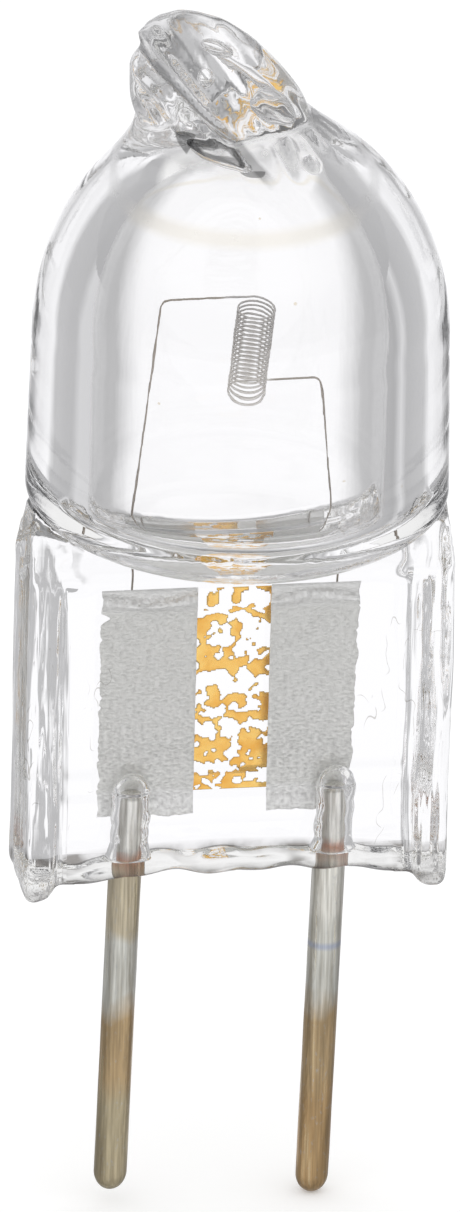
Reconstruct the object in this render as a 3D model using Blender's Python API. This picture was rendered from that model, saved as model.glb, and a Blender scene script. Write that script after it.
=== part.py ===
"""Single-ended quartz halogen capsule with a bare two-pin base, in metres, +Z up.

The origin lies midway between the pins, where they leave the pinched foot of the glass. +X runs
across the two pins and +Y through the thickness of the pinch.
"""

import math

import bmesh
import bpy
from mathutils import Matrix, Vector

# Contact pins
PIN_SPACING = 0.0040
PIN_DIAMETER = 0.00065
LEFT_PIN_FREE_LENGTH = 0.0070
RIGHT_PIN_FREE_LENGTH = 0.00725
PIN_SEATED_LENGTH = 0.00145
PIN_NOSE_LENGTH = 0.00038
PIN_LEAN = math.radians(1.5)
PIN_CHANNEL_GAP = 0.00007
PIN_BUBBLE_HEIGHT = 0.0004

# Pinch seal
PINCH_WIDTH = 0.0083
WEB_THICKNESS = 0.0017
WEB_STEP = 0.00007
STEP_SLOPE = 0.00015
PAD_BOTTOM = 0.0017
PAD_TOP = 0.0055
RIB_WIDTH = 0.00062
RIB_THICKNESS = 0.0022
RIB_HEIGHT = 0.0064
RIB_DROP = 0.00043
RIB_ROUNDING = 0.00022
BASE_ARCH_RISE = 0.0003
SHOULDER_WIDTH = 0.0009
SHOULDER_BLEND = 0.0005
RIDGE_LAP = 0.00075
RIDGE_THICKNESS = 0.0004
WEB_LAP = 0.00004

# Bulb
BULB_RADIUS = 0.0040
BULB_FLARE = 0.00007
BULB_FOOT_HEIGHT = 0.00635
BOWL_DEPTH = 0.0014
TUBE_LENGTH = 0.00305
DOME_RISE = 0.0046
WALL = 0.00115
CAVITY_RISE = 0.0035
FUNNEL_RADIUS = 0.00205
FUNNEL_RISE = 0.0012
FLOOR_THICKNESS = 0.0005
CAVITY_BOWL_DEPTH = 0.0009

# Exhaust tip
TIP_OFFSET = 0.0004
TIP_COLUMN_RADIUS = 0.00172
TIP_FOOT_RADIUS = 0.00215
TIP_FOOT_THICKNESS = 0.0002
TIP_FOOT_CHAMFER = 0.0003
TIP_FOOT_EDGE = 0.00008
TIP_CAP_OFFSET = 0.00045
TIP_CAP_LIFT = 0.0005
TIP_CAP_SIZE = (0.0040, 0.0030, 0.0019)
TIP_CAP_SLANT = math.radians(43.0)
TIP_LIP_DROP = 0.0008
TIP_LIP_SIZE = (0.0038, 0.0029, 0.0009)
TIP_LIP_SLANT = math.radians(48.0)
PORT_DIAMETER = 0.0015
TIP_BORE_DEPTH = 0.0005

# Filament
WIRE_DIAMETER = 0.00004
COIL_DIAMETER = 0.00076
COIL_PITCH = 0.000094
COIL_TURNS = 20
COIL_OFFSET = 0.00027
COIL_DROP = 0.0005
COIL_LEAN = math.radians(11.0)
COIL_TILT = math.radians(3.0)
LEG_SPACING = 0.0040
LEFT_BEND_INSET = 0.0005
RIGHT_BEND_INSET = 0.00016
LEG_BEND_RADIUS = 0.0002
LEG_WELD_LENGTH = 0.0005

# Sealing foils
FOIL_WIDTH = 0.00195
FOIL_THICKNESS = 0.00003
FOIL_EDGE_THICKNESS = 0.00001
FOIL_EDGE_WIDTH = 0.0002
FOIL_INSET = 0.00033
FOIL_PIN_OVERLAP = 0.00063
FOIL_SEAL_LENGTH = 0.00125

# Clearances between fused pieces
SEAL_GAP = 0.00002
TIP_SEAT_GAP = 0.00002

# Facets
BULB_SEGMENTS = 56
CAVITY_SEGMENTS = 44
TIP_SEGMENTS = 32
PIN_SEGMENTS = 20
ARC_STEPS = 10
POINTS_PER_TURN = 10
CHANNEL_SEGMENTS = 10
FACET_TURN = math.radians(2.3)
CUT_MARGIN = 0.0005

# Derived heights and places
BULB_SPRING = BULB_FOOT_HEIGHT + BOWL_DEPTH
EQUATOR = BULB_SPRING + TUBE_LENGTH
CAVITY_RADIUS = BULB_RADIUS - WALL
CAVITY_FLOOR = BULB_FOOT_HEIGHT + FLOOR_THICKNESS
FUNNEL_FOOT = EQUATOR + CAVITY_RISE * math.sqrt(1 - (FUNNEL_RADIUS / CAVITY_RADIUS) ** 2)
CROWN = EQUATOR + DOME_RISE
EAVES = RIB_HEIGHT - RIB_ROUNDING
RIDGE = BULB_FOOT_HEIGHT + RIDGE_LAP
PIN_RADIUS = PIN_DIAMETER / 2
WIRE_RADIUS = WIRE_DIAMETER / 2
COIL_RADIUS = (COIL_DIAMETER - WIRE_DIAMETER) / 2
PORT_RADIUS = PORT_DIAMETER / 2
FOIL_PLANE = PIN_RADIUS + SEAL_GAP + FOIL_THICKNESS / 2
LEG_PLANE = FOIL_PLANE - FOIL_THICKNESS / 2 - SEAL_GAP - WIRE_RADIUS
FOIL_BOTTOM = PIN_SEATED_LENGTH - FOIL_PIN_OVERLAP
FOIL_TOP = CAVITY_FLOOR - FOIL_SEAL_LENGTH
LEG_FOOT = FOIL_TOP - LEG_WELD_LENGTH
SIDES = (("left", -1), ("right", 1))


def clear_scene():
    for obj in list(bpy.data.objects):
        bpy.data.objects.remove(obj, do_unlink=True)


def material(name, colour, roughness, metallic=0.0, transmission=0.0, ior=1.45):
    made = bpy.data.materials.new(name)
    made.use_nodes = True
    shader = made.node_tree.nodes["Principled BSDF"]
    shader.inputs["Base Color"].default_value = (*colour, 1.0)
    shader.inputs["Roughness"].default_value = roughness
    shader.inputs["Metallic"].default_value = metallic
    shader.inputs["Transmission Weight"].default_value = transmission
    shader.inputs["IOR"].default_value = ior
    made.diffuse_color = (*colour, 1.0)
    return made


def link(name, bm, smooth_angle=math.radians(35.0)):
    """A new object from a bmesh, with outward faces, shaded smooth apart from its sharp edges."""
    bmesh.ops.recalc_face_normals(bm, faces=bm.faces)
    mesh = bpy.data.meshes.new(name)
    bm.to_mesh(mesh)
    bm.free()
    mesh.shade_smooth()
    mesh.set_sharp_from_angle(angle=smooth_angle)
    obj = bpy.data.objects.new(name, mesh)
    bpy.context.scene.collection.objects.link(obj)
    return obj


def helper(obj):
    obj.hide_render = True
    obj.display_type = "WIRE"
    return obj


def combine(obj, other, operation):
    modifier = obj.modifiers.new(f"{operation.lower()} {other.name}", "BOOLEAN")
    modifier.operation = operation
    modifier.object = helper(other)


def join(obj, other):
    combine(obj, other, "UNION")


def cut(obj, other):
    combine(obj, other, "DIFFERENCE")


def dome_arc(radius, rise, inner, outer, steps=ARC_STEPS):
    """Radius and height along an elliptical dome, between two distances from its axis."""
    start = math.asin(inner / radius)
    end = math.asin(outer / radius)
    angles = [start + (end - start) * step / steps for step in range(steps + 1)]
    return [(radius * math.sin(angle), rise * math.cos(angle)) for angle in angles]


def quarter(radius, rise, steps=ARC_STEPS):
    """Radius and height along a quarter ellipse, from its pole on the axis to its equator."""
    return dome_arc(radius, rise, 0.0, radius, steps)


def turned(name, profile, segments):
    """A solid of revolution about Z from a profile of radius and height that meets the axis twice."""
    bm = bmesh.new()
    points = [bm.verts.new((radius, 0.0, height)) for radius, height in profile]
    lines = [bm.edges.new(pair) for pair in zip(points, points[1:])]
    bmesh.ops.spin(
        bm, geom=points + lines, axis=(0, 0, 1), cent=(0, 0, 0), angle=math.tau, steps=segments
    )
    bmesh.ops.remove_doubles(bm, verts=bm.verts, dist=1e-7)
    return link(name, bm)


def prism(name, outline, along, length):
    """An outline of corner points, extruded by a length along a unit direction."""
    bm = bmesh.new()
    face = bm.faces.new([bm.verts.new(point) for point in outline])
    moved = bmesh.ops.extrude_face_region(bm, geom=[face])["geom"]
    corners = [item for item in moved if isinstance(item, bmesh.types.BMVert)]
    bmesh.ops.translate(bm, verts=corners, vec=Vector(along) * length)
    return link(name, bm)


def rounded_bar(name, size, centre, rounding, segments=3):
    bm = bmesh.new()
    shape = Matrix.Translation(centre) @ Matrix.Diagonal((*size, 1.0))
    bmesh.ops.create_cube(bm, size=1.0, matrix=shape)
    bmesh.ops.bevel(
        bm, geom=bm.edges[:], offset=rounding, segments=segments, profile=0.5, affect="EDGES"
    )
    return link(name, bm)


def channel(name, x, y, bottom, top, radius):
    """A straight round cutter along Z."""
    bm = bmesh.new()
    middle = Matrix.Translation((x, y, (bottom + top) / 2))
    bmesh.ops.create_cone(
        bm,
        cap_ends=True,
        segments=CHANNEL_SEGMENTS,
        radius1=radius,
        radius2=radius,
        depth=top - bottom,
        matrix=middle,
    )
    return link(name, bm)


def bulb_profile(grow=0.0):
    """Outer skin of the bulb, crown to foot and wider low down, moved outwards by a small amount."""
    dome = [(r, EQUATOR + z) for r, z in quarter(BULB_RADIUS + grow, DOME_RISE + grow)]
    wide = BULB_RADIUS + BULB_FLARE + grow
    bowl = [(r, BULB_SPRING - z) for r, z in quarter(wide, BOWL_DEPTH + grow)]
    return dome + bowl[::-1]


def cavity_profile():
    """Inside of the bulb: a bowl, a dome, and the smaller dome where the exhaust tube flares into it."""
    funnel = [(r, FUNNEL_FOOT + z) for r, z in quarter(FUNNEL_RADIUS, FUNNEL_RISE)]
    below_funnel = dome_arc(CAVITY_RADIUS, CAVITY_RISE, FUNNEL_RADIUS, CAVITY_RADIUS, ARC_STEPS // 2)
    dome = [(r, EQUATOR + z) for r, z in below_funnel]
    spring = CAVITY_FLOOR + CAVITY_BOWL_DEPTH
    bowl = [(r, spring - z) for r, z in quarter(CAVITY_RADIUS, CAVITY_BOWL_DEPTH)]
    return funnel + dome[1:] + bowl[::-1]


def gable_height(half_depth):
    """Height of the shoulders' slopes at a distance from the pinch's middle plane."""
    run = RIB_THICKNESS / 2 - RIDGE_THICKNESS / 2
    return EAVES + (RIDGE - EAVES) * (RIB_THICKNESS / 2 - half_depth) / run


def pinch_web():
    """Flat web between the ribs: pressed pads between shallow steps, a gabled top and an arched foot."""
    pad = WEB_THICKNESS / 2
    band = pad + WEB_STEP
    half = [
        (band, -RIB_DROP),
        (band, PAD_BOTTOM - STEP_SLOPE),
        (pad, PAD_BOTTOM),
        (pad, PAD_TOP),
        (band, PAD_TOP + STEP_SLOPE),
        (band, gable_height(band) - WEB_LAP),
        (RIDGE_THICKNESS / 2, gable_height(RIDGE_THICKNESS / 2) - WEB_LAP),
    ]
    left = -(PINCH_WIDTH - RIB_WIDTH) / 2
    outline = [(left, y, z) for y, z in half] + [(left, -y, z) for y, z in half[::-1]]
    web = prism("pinch_web", outline, (1, 0, 0), PINCH_WIDTH - RIB_WIDTH)
    span = PINCH_WIDTH / 2
    places = [step / ARC_STEPS for step in range(-ARC_STEPS, ARC_STEPS + 1)]
    front = -band - CUT_MARGIN
    arch = [(span * place, front, -BASE_ARCH_RISE * place**2) for place in places]
    foot = -RIB_DROP - CUT_MARGIN
    cutter = arch + [(span, front, foot), (-span, front, foot)]
    cut(web, prism("base_arch", cutter, (0, 1, 0), -2 * front))
    return web


def shoulder(side, sign):
    """Gable of glass on a rib, from the bulb's side down to the rib's two faces and into the web."""
    outside = PINCH_WIDTH / 2
    inside = outside - SHOULDER_WIDTH
    foot = RIB_HEIGHT - RIB_WIDTH
    rib_half = RIB_THICKNESS / 2
    corners = [
        (outside - RIB_ROUNDING, rib_half - RIB_ROUNDING, foot),
        (inside - SHOULDER_BLEND, WEB_THICKNESS / 2, foot),
        (inside - SHOULDER_BLEND, WEB_THICKNESS / 2, EAVES),
        (inside, rib_half, EAVES),
        (outside, rib_half, EAVES),
        (outside - RIB_ROUNDING, RIDGE_THICKNESS / 2, RIDGE),
        (CAVITY_RADIUS, RIDGE_THICKNESS / 2, RIDGE),
        (BULB_RADIUS, RIDGE_THICKNESS / 2, BULB_SPRING),
    ]
    bm = bmesh.new()
    for x, y, z in corners:
        for end in (-1, 1):
            bm.verts.new((sign * x, end * y, z))
    bmesh.ops.convex_hull(bm, input=bm.verts)
    return link(f"{side}_shoulder", bm)


def foil_solid(name, x, grow=0.0):
    """Thin strip with feathered long edges, made larger all round for its pocket."""
    flat = FOIL_WIDTH / 2 - FOIL_EDGE_WIDTH
    edge = FOIL_WIDTH / 2 + grow
    thick = FOIL_THICKNESS / 2 + grow
    thin = FOIL_EDGE_THICKNESS / 2 + grow
    front = [(-edge, -thin), (-flat, -thick), (flat, -thick), (edge, -thin)]
    ring = front + [(-a, -b) for a, b in front]
    outline = [(x + a, FOIL_PLANE + b, FOIL_BOTTOM - grow) for a, b in ring]
    return prism(name, outline, (0, 0, 1), FOIL_TOP - FOIL_BOTTOM + 2 * grow)


def foil_place(sign):
    return sign * (PIN_SPACING / 2 - FOIL_INSET)


def pin_profile(free_length, grow=0.0, crown=PIN_NOSE_LENGTH / 3):
    """Contact pin from its seated end down to its bullet nose."""
    radius = PIN_RADIUS + grow
    top = [(r, PIN_SEATED_LENGTH - crown + z) for r, z in quarter(radius, crown, ARC_STEPS // 2)]
    nose = [(r, -free_length + PIN_NOSE_LENGTH - z) for r, z in quarter(radius, PIN_NOSE_LENGTH)]
    return top + nose[::-1]


def pin_channel(side, sign):
    """Cutter for the loose channel round a pin, closed by the bubble above its seated end."""
    radius = PIN_RADIUS + PIN_CHANNEL_GAP
    bubble = quarter(radius, PIN_BUBBLE_HEIGHT, ARC_STEPS // 2)
    profile = [(r, PIN_SEATED_LENGTH + z) for r, z in bubble]
    foot = -RIB_DROP - CUT_MARGIN
    channel_solid = turned(f"{side}_pin_channel", profile + [(radius, foot), (0.0, foot)], PIN_SEGMENTS)
    channel_solid.location.x = sign * PIN_SPACING / 2
    return channel_solid


def tip_bore():
    """Cutter for the exhaust bore, from the funnel up to its melted shut end inside the tip."""
    bore_end = quarter(PORT_RADIUS, TIP_BORE_DEPTH, ARC_STEPS // 2)
    profile = [(r, CROWN + z) for r, z in bore_end] + [(PORT_RADIUS, FUNNEL_FOOT), (0.0, FUNNEL_FOOT)]
    bore = turned("exhaust_bore", profile, TIP_SEGMENTS)
    bore.location.x = -TIP_OFFSET
    bore.rotation_euler.z = FACET_TURN
    return bore


def build_envelope(bore, glass):
    envelope = turned("glass_envelope", bulb_profile(), BULB_SEGMENTS)
    join(envelope, pinch_web())
    rib_centre = (PINCH_WIDTH - RIB_WIDTH) / 2
    rib_size = (RIB_WIDTH, RIB_THICKNESS, RIB_HEIGHT + RIB_DROP)
    for side, sign in SIDES:
        centre = (sign * rib_centre, 0.0, (RIB_HEIGHT - RIB_DROP) / 2)
        join(envelope, rounded_bar(f"{side}_rib", rib_size, centre, RIB_ROUNDING))
        join(envelope, shoulder(side, sign))
    cut(envelope, turned("cavity", cavity_profile(), CAVITY_SEGMENTS))
    cut(envelope, bore)
    for side, sign in SIDES:
        cut(envelope, pin_channel(side, sign))
        cut(envelope, foil_solid(f"{side}_foil_pocket", foil_place(sign), SEAL_GAP))
        leg_x = sign * LEG_SPACING / 2
        leg_top = CAVITY_FLOOR + CAVITY_BOWL_DEPTH
        hole = WIRE_RADIUS + SEAL_GAP
        cut(envelope, channel(f"{side}_leg_channel", leg_x, LEG_PLANE, LEG_FOOT - SEAL_GAP, leg_top, hole))
    envelope.data.materials.append(glass)


def slanted_drop(name, centre, size, slant, facet_turn):
    """A flattened drop, high on its -X side, with its facets turned about its own axis."""
    bm = bmesh.new()
    shape = Matrix.Translation(centre) @ Matrix.Rotation(slant, 4, "Y")
    shape = shape @ Matrix.Diagonal((*(Vector(size) / 2), 1.0)) @ Matrix.Rotation(facet_turn, 4, "Z")
    bmesh.ops.create_uvsphere(
        bm, u_segments=TIP_SEGMENTS, v_segments=TIP_SEGMENTS // 2, radius=1.0, matrix=shape
    )
    return link(name, bm)


def slanted_column(name, top_centre, radius, slant, foot, facet_turn):
    """A round column about the tip's axis, cut off at a slant through its top centre."""
    bm = bmesh.new()
    angles = [facet_turn + math.tau * step / TIP_SEGMENTS for step in range(TIP_SEGMENTS)]
    outline = [(radius * math.cos(a) - TIP_OFFSET, radius * math.sin(a), foot) for a in angles]
    face = bm.faces.new([bm.verts.new(point) for point in outline])
    moved = bmesh.ops.extrude_face_region(bm, geom=[face])["geom"]
    for corner in moved:
        if isinstance(corner, bmesh.types.BMVert):
            corner.co.z = top_centre.z - (corner.co.x - top_centre.x) * math.tan(slant)
    return link(name, bm)


def build_exhaust_tip(bore, glass):
    """Slanted, flattened drop over a folded lip, on a short column and a weld ring that follows the crown.

    The facets of the four shapes are turned apart, so that their edges cross and none lies on another.
    """
    cap_centre = Vector((-TIP_CAP_OFFSET, 0.0, CROWN + TIP_CAP_LIFT))
    down = Vector((-math.sin(TIP_CAP_SLANT), 0.0, -math.cos(TIP_CAP_SLANT)))
    lip_centre = cap_centre + down * TIP_LIP_DROP
    tip = slanted_drop("exhaust_tip", cap_centre, TIP_CAP_SIZE, TIP_CAP_SLANT, FACET_TURN)
    lip = slanted_drop("tip_lip", lip_centre, TIP_LIP_SIZE, TIP_LIP_SLANT, 2 * FACET_TURN)
    column_top = lip_centre + down * TIP_LIP_SIZE[2] / 4
    column = slanted_column(
        "tip_column", column_top, TIP_COLUMN_RADIUS, TIP_LIP_SLANT, EQUATOR, 3 * FACET_TURN
    )
    skin_radius = BULB_RADIUS + TIP_FOOT_THICKNESS
    ring_top = TIP_FOOT_RADIUS - TIP_FOOT_CHAMFER
    skin = dome_arc(skin_radius, DOME_RISE + TIP_FOOT_THICKNESS, 0.0, ring_top, ARC_STEPS // 2)
    rim = dome_arc(BULB_RADIUS + TIP_FOOT_EDGE, DOME_RISE + TIP_FOOT_EDGE, 0.0, TIP_FOOT_RADIUS)[-1]
    ring_profile = [(r, EQUATOR + z) for r, z in skin + [rim]]
    ring_profile += [(TIP_FOOT_RADIUS, EQUATOR), (0.0, EQUATOR)]
    weld_ring = turned("tip_weld_ring", ring_profile, TIP_SEGMENTS)
    weld_ring.rotation_euler.z = 4 * FACET_TURN
    for shape in (lip, column, weld_ring):
        join(tip, shape)
    cut(tip, turned("tip_seat", bulb_profile(TIP_SEAT_GAP), BULB_SEGMENTS))
    cut(tip, bore)
    tip.data.materials.append(glass)


def rounded_path(corners, radius, steps=4):
    """The corner points of a wire with each inner corner eased by an arc-like run of points."""
    path = [corners[0]]
    for before, corner, after in zip(corners, corners[1:], corners[2:]):
        start = corner + (before - corner).normalized() * radius
        end = corner + (after - corner).normalized() * radius
        for step in range(steps + 1):
            share = step / steps
            path.append(start.lerp(corner, share).lerp(corner.lerp(end, share), share))
    return path + [corners[-1]]


def coil_points():
    """The coil from its top turn to its bottom turn, leaning towards -Y."""
    length = COIL_PITCH * COIL_TURNS
    middle = Vector((COIL_OFFSET, LEG_PLANE, EQUATOR - COIL_DROP))
    lean = Matrix.Rotation(COIL_TILT, 3, "Y") @ Matrix.Rotation(COIL_LEAN, 3, "X")
    points = []
    for step in range(COIL_TURNS * POINTS_PER_TURN + 1):
        angle = math.pi / 2 - math.tau * step / POINTS_PER_TURN
        height = length / 2 - COIL_PITCH * step / POINTS_PER_TURN
        turn = Vector((COIL_RADIUS * math.cos(angle), COIL_RADIUS * math.sin(angle), height))
        points.append(middle + lean @ turn)
    return points


def wire_points():
    """One wire: up the left leg, over to the coil, down its turns, and down the right leg."""
    coil = coil_points()
    reach = LEG_SPACING / 2
    floor = CAVITY_FLOOR + CAVITY_BOWL_DEPTH
    left_top = Vector((-reach + LEFT_BEND_INSET, coil[0].y, coil[0].z))
    right_top = Vector((reach - RIGHT_BEND_INSET, coil[-1].y, coil[-1].z))
    left_leg = [
        Vector((-reach, LEG_PLANE, LEG_FOOT)),
        Vector((-reach, LEG_PLANE, floor)),
        left_top,
        coil[0],
    ]
    right_leg = [
        coil[-1],
        right_top,
        Vector((reach, LEG_PLANE, floor)),
        Vector((reach, LEG_PLANE, LEG_FOOT)),
    ]
    return rounded_path(left_leg, LEG_BEND_RADIUS) + coil[1:-1] + rounded_path(right_leg, LEG_BEND_RADIUS)


def least_self_gap(points):
    """Least clear distance between stretches of the wire that lie half a turn or more apart along it."""
    apart = POINTS_PER_TURN // 2
    pairs = ((a, b) for i, a in enumerate(points) for b in points[i + apart :])
    return min((a - b).length for a, b in pairs) - WIRE_DIAMETER


def build_filament(tungsten):
    points = wire_points()
    curve = bpy.data.curves.new("filament", "CURVE")
    curve.dimensions = "3D"
    curve.bevel_depth = WIRE_RADIUS
    curve.bevel_resolution = 1
    curve.use_fill_caps = True
    spline = curve.splines.new("POLY")
    spline.points.add(len(points) - 1)
    for spot, point in zip(spline.points, points):
        spot.co = (*point, 1.0)
    filament = bpy.data.objects.new("filament", curve)
    bpy.context.scene.collection.objects.link(filament)
    curve.materials.append(tungsten)
    print(f"filament: least gap to itself {least_self_gap(points) * 1000:.4f} mm")


def build_foils(molybdenum):
    for side, sign in SIDES:
        foil = foil_solid(f"{side}_foil", foil_place(sign))
        foil.data.materials.append(molybdenum)


def build_pins(pin_metal):
    free_lengths = (LEFT_PIN_FREE_LENGTH, RIGHT_PIN_FREE_LENGTH)
    for (side, sign), free_length in zip(SIDES, free_lengths):
        pin = turned(f"{side}_pin", pin_profile(free_length), PIN_SEGMENTS)
        pin.location.x = sign * PIN_SPACING / 2
        pin.rotation_euler.y = PIN_LEAN
        pin.data.materials.append(pin_metal)


def main():
    clear_scene()
    glass = material("quartz_glass", (0.96, 0.97, 0.97), 0.02, transmission=1.0, ior=1.458)
    tungsten = material("tungsten_wire", (0.32, 0.31, 0.30), 0.35, metallic=1.0)
    molybdenum = material("molybdenum_foil", (0.58, 0.58, 0.56), 0.45, metallic=1.0)
    pin_metal = material("nickel_pin", (0.55, 0.52, 0.46), 0.32, metallic=1.0)
    bore = tip_bore()
    build_envelope(bore, glass)
    build_exhaust_tip(bore, glass)
    build_filament(tungsten)
    build_foils(molybdenum)
    build_pins(pin_metal)


main()
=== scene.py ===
"""Looks of the quartz halogen capsule: fused glass, crinkled foils, a coiled filament, heat-tinted pins."""

import math

import bmesh
import bpy
import numpy as np
from mathutils import Matrix, Vector, noise


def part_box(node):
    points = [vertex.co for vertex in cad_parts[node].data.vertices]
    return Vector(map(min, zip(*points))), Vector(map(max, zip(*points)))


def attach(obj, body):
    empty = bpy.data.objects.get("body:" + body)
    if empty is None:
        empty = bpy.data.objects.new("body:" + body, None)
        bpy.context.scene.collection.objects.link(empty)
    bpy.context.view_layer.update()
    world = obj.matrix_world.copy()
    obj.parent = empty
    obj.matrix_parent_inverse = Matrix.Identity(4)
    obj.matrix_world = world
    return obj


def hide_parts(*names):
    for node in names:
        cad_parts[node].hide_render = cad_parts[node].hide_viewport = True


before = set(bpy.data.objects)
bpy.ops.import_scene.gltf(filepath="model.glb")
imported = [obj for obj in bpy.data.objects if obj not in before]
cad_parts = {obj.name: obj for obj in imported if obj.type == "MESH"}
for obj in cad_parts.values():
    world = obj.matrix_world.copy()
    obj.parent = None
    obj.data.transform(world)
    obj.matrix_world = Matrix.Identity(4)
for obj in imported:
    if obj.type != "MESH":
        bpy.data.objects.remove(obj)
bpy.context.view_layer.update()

# Meshes are shaped in millimetres and scaled to metres when they are linked.
MM = 0.001


def box_mm(node):
    return [Vector(corner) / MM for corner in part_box(node)]


# Places taken from the CAD nodes, in millimetres
GLASS_LOW, GLASS_HIGH = box_mm("glass_envelope")
FOIL_BOXES = {name: box_mm(name) for name in ("left_foil", "right_foil")}
PIN_BOXES = {name: box_mm(name) for name in ("left_pin", "right_pin")}
WIRE_FOOT = box_mm("filament")[0].z

# Bulb, in millimetres
BULB_FLARE = 0.07
BULB_RADIUS = GLASS_HIGH.y - BULB_FLARE
BULB_FOOT = 6.35
BOWL_DEPTH = 1.4
SPRING = BULB_FOOT + BOWL_DEPTH
EQUATOR = 10.8
CROWN = GLASS_HIGH.z
DOME_RISE = CROWN - EQUATOR
WALL = 1.15
CAVITY_RADIUS = BULB_RADIUS - WALL
CAVITY_RISE = 3.5
CAVITY_FLOOR = 6.85
CAVITY_BOWL = 0.9
CAVITY_SPRING = CAVITY_FLOOR + CAVITY_BOWL
FUNNEL_RADIUS = 2.1
FUNNEL_RISE = 0.35

# Pinch seal, in millimetres
PINCH_HALF = GLASS_HIGH.x
RIB_WIDTH = 0.62
RIB_HALF = 1.1
RIB_ROUNDING = 0.22
RIB_TOP = 6.4
RIB_FOOT = GLASS_LOW.z
EAVES = RIB_TOP - RIB_ROUNDING
RIDGE = BULB_FOOT + 0.75
RIDGE_HALF = 0.2
SHOULDER_INSIDE = PINCH_HALF - 0.9
SHOULDER_END = SHOULDER_INSIDE - 0.5
SHOULDER_FOOT = RIB_TOP - RIB_WIDTH
PAD_HALF = 0.85
BAND_HALF = 0.92
PAD_BOTTOM = 1.7
PAD_TOP = 5.5
PAD_MARGIN = 0.1
PAD_REACH = PINCH_HALF - 1.2 * RIB_WIDTH
STEP_SLOPE = 0.15
ARCH_RISE = 0.3

# Unevenness of the pinch, in millimetres, and where the waves of its ribs and foot begin and are full
RIB_RIPPLE = 0.05
RIB_SIDE_RIPPLE = 0.4 * RIB_RIPPLE
RIB_SIDE_STRETCH = 0.6
RIB_SIDE_SHIFT = 5.0
RIPPLE_ACROSS = (PINCH_HALF - 1.6 * RIB_WIDTH, PINCH_HALF - 0.9 * RIB_WIDTH)
RIPPLE_DOWN = (RIB_TOP, EAVES - 0.3)
FOOT_RIPPLE = 0.09
FOOT_STRETCH = (0.35, 0.5)
FOOT_BULGE = 0.12
FOOT_HEIGHTS = (0.9, 0.1)

# Uneven waves, per millimetre: one bent by a slower wave along it, and two straight ones with their phases
BENT_WAVE = (9.1, 1.3, 1.7)
STRAIGHT_WAVES = ((15.7, 0.9, 2.0), (5.3, -1.3, 4.0))

# Exhaust tip, in millimetres
TIP_AXIS = -0.4
COLUMN_RADIUS = 1.72
COLUMN_TOP = Vector((-0.84, 0.0, CROWN - 0.13))
COLUMN_SLANT = math.radians(48.0)
CAP_CENTRE = Vector((-0.4, 0.0, CROWN - 0.2))
CAP_HALF = (2.45, 1.5, 1.46)
CAP_SLANT = math.radians(52.5)
GROOVE_CENTRE = Vector((-0.7, 0.0, CROWN + 0.01))
GROOVE_SLANT = math.radians(43.0)
GROOVE_DEPTH = 0.16
GROOVE_ABOVE = 0.16
GROOVE_BELOW = 0.42
PORT_RADIUS = 0.75
BORE_END = Vector((-0.42, 0.0, CROWN - 0.6))
BORE_END_HALF = (0.8, 0.36, 0.3)
BORE_SLANT = math.radians(36.0)

# Skirt of melted glass round the tip, in millimetres, with a foot that runs out at its front right
SKIRT_REACH = 2.3
SKIRT_RISE = 0.5
SKIRT_EDGE = 0.06
FOOT_SIDE = math.radians(-58.0)
FOOT_SHARPNESS = 6
FOOT_REACH = 0.3
FOOT_RELIEF = 0.3
CRUMPLE_MEAN = 0.5
# Lobes of the skirt's edge and crumples of its foot: size, count round the tip and phase
SKIRT_LOBES = ((0.08, 3, 0.4), (0.06, 5, 2.0))
FOOT_CRUMPLES = ((0.3, 17, 0.0), (0.2, 29, 1.0))

# Melted folds on the skirt: heading in degrees, distance from the tip's axis and size, and their common shape
MELT_FOLDS = ((-52, 2.05, 0.36), (2, 1.95, 0.16))
FOLD_SHAPE = (1.0, 0.9, 0.6)
FOLD_SLANT = 0.6

# Waves over the melted tip: the axis moved, the size, X, Y and Z across and along the wave, and a shift
TIP_WAVES = (
    (0, 0.035, (0.0, 0.4, 0.3), (1.0, 0.0, 0.0), 0.0),
    (1, 0.035, (0.5, 0.0, -0.3), (0.0, 1.0, 0.0), 2.0),
    (1, 0.03, (1.1, 0.0, 0.8), (0.0, 2.0, 0.0), 0.0),
)
TIP_WAVE_HEIGHTS = (CROWN - 0.3, CROWN + 0.3)

# Air trapped in the melted tip: centre, half sizes and slant in degrees, the first a flat lens near its front
LENS_CENTRE = (-0.7, -1.28, 14.84)
LENS_HALF = (0.72, 0.14, 0.21)
LENS_SLANT = 32.0
TIP_BUBBLES = (
    (LENS_CENTRE, LENS_HALF, LENS_SLANT),
    ((0.3, -0.72, 15.6), (0.5, 0.2, 0.3), 30.0),
    ((-0.72, -0.62, 16.75), (0.32, 0.14, 0.17), 25.0),
    ((-0.95, -0.85, 16.3), (0.16, 0.1, 0.2), -15.0),
    ((-0.25, -0.3, 16.1), (0.7, 0.14, 0.09), 40.0),
)
BUBBLE_WOBBLE = 0.2
BUBBLE_WAVES = 2.2

# Steps and segments of the turned shapes, and the voxels and smoothing of the skins round them
DOME_STEPS = 40
CAVITY_STEPS = 60
BOWL_STEPS = 24
BULB_SEGMENTS = 128
COLUMN_SEGMENTS = 64
SKIRT_STEPS = 10
SKIRT_SEGMENTS = 96
DROP_SEGMENTS = (48, 24)
WEB_RINGS = 33
ROUNDING_STEPS = 3
GLASS_VOXEL = 0.085
CAVITY_VOXEL = 0.11
SKIN_SMOOTHING = 4

# Distances from a true surface, far and near, between which a skin is drawn onto it more and more
BULB_SETTLE = (0.09, 0.05)
CAP_SETTLE = (0.1, 0.06)
PAD_SETTLE = (0.07, 0.04)
SKIRT_SETTLE = (0.2, 0.12)
SKIRT_SHARES = (0.85, 0.65)
GROOVE_SETTLE = (0.12, 0.04)
LEAST_SIZE = 0.05

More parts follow.
